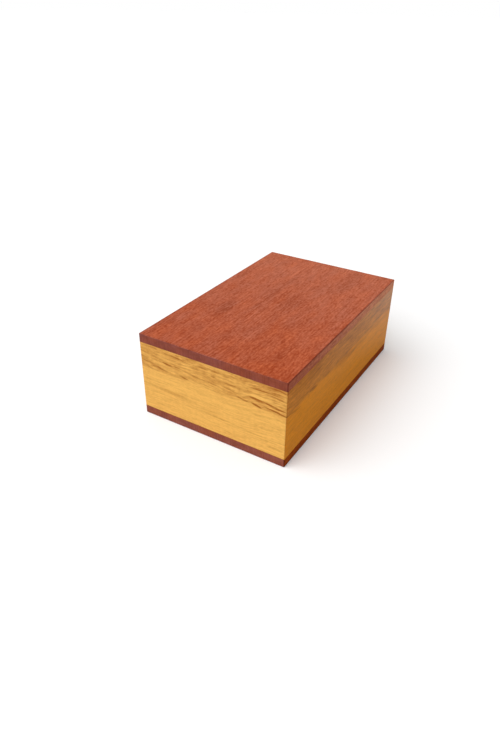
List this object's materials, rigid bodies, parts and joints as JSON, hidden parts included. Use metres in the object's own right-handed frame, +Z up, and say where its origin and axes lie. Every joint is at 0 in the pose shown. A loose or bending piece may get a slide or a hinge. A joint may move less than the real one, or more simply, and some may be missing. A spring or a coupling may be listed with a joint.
{
  "type": "sliding lid wooden box",
  "caption": "Small hardwood box with mitred walls, a full-size base plate and a full-size lid that slides out on tongues over the rear wall.",
  "frame": {"origin": "centre of the underside, on the surface that the box stands on", "axes": "+X across the width, to the right seen from the front wall; +Y along the length, towards the rear wall, the way the lid opens; +Z up"},
  "size_m": [0.105, 0.166, 0.06],
  "materials": {
    "red_wood": "satin oil or wax, fine pores along the length, end grain on the short edges",
    "yellow_wood": "satin oil or wax, brown streaks in the upper part, grain carried round the mitred corners"
  },
  "bodies": {
    "case": {"base_plate": "red_wood", "front_wall": "yellow_wood", "rear_wall": "yellow_wood", "left_wall": "yellow_wood", "right_wall": "yellow_wood", "front_left_spline": "red_wood", "front_right_spline": "red_wood", "rear_left_spline": "red_wood", "rear_right_spline": "red_wood"},
    "lid": {"lid_plate": "red_wood", "lid_left_runner": "yellow_wood", "lid_right_runner": "yellow_wood", "lid_rear_strip": "yellow_wood"}
  },
  "joints": [
    {"name": "lid_slide", "type": "slide", "parent": "case", "child": "lid", "axis": [0, 1, 0], "range_m": [0, 0.15]}
  ]
}
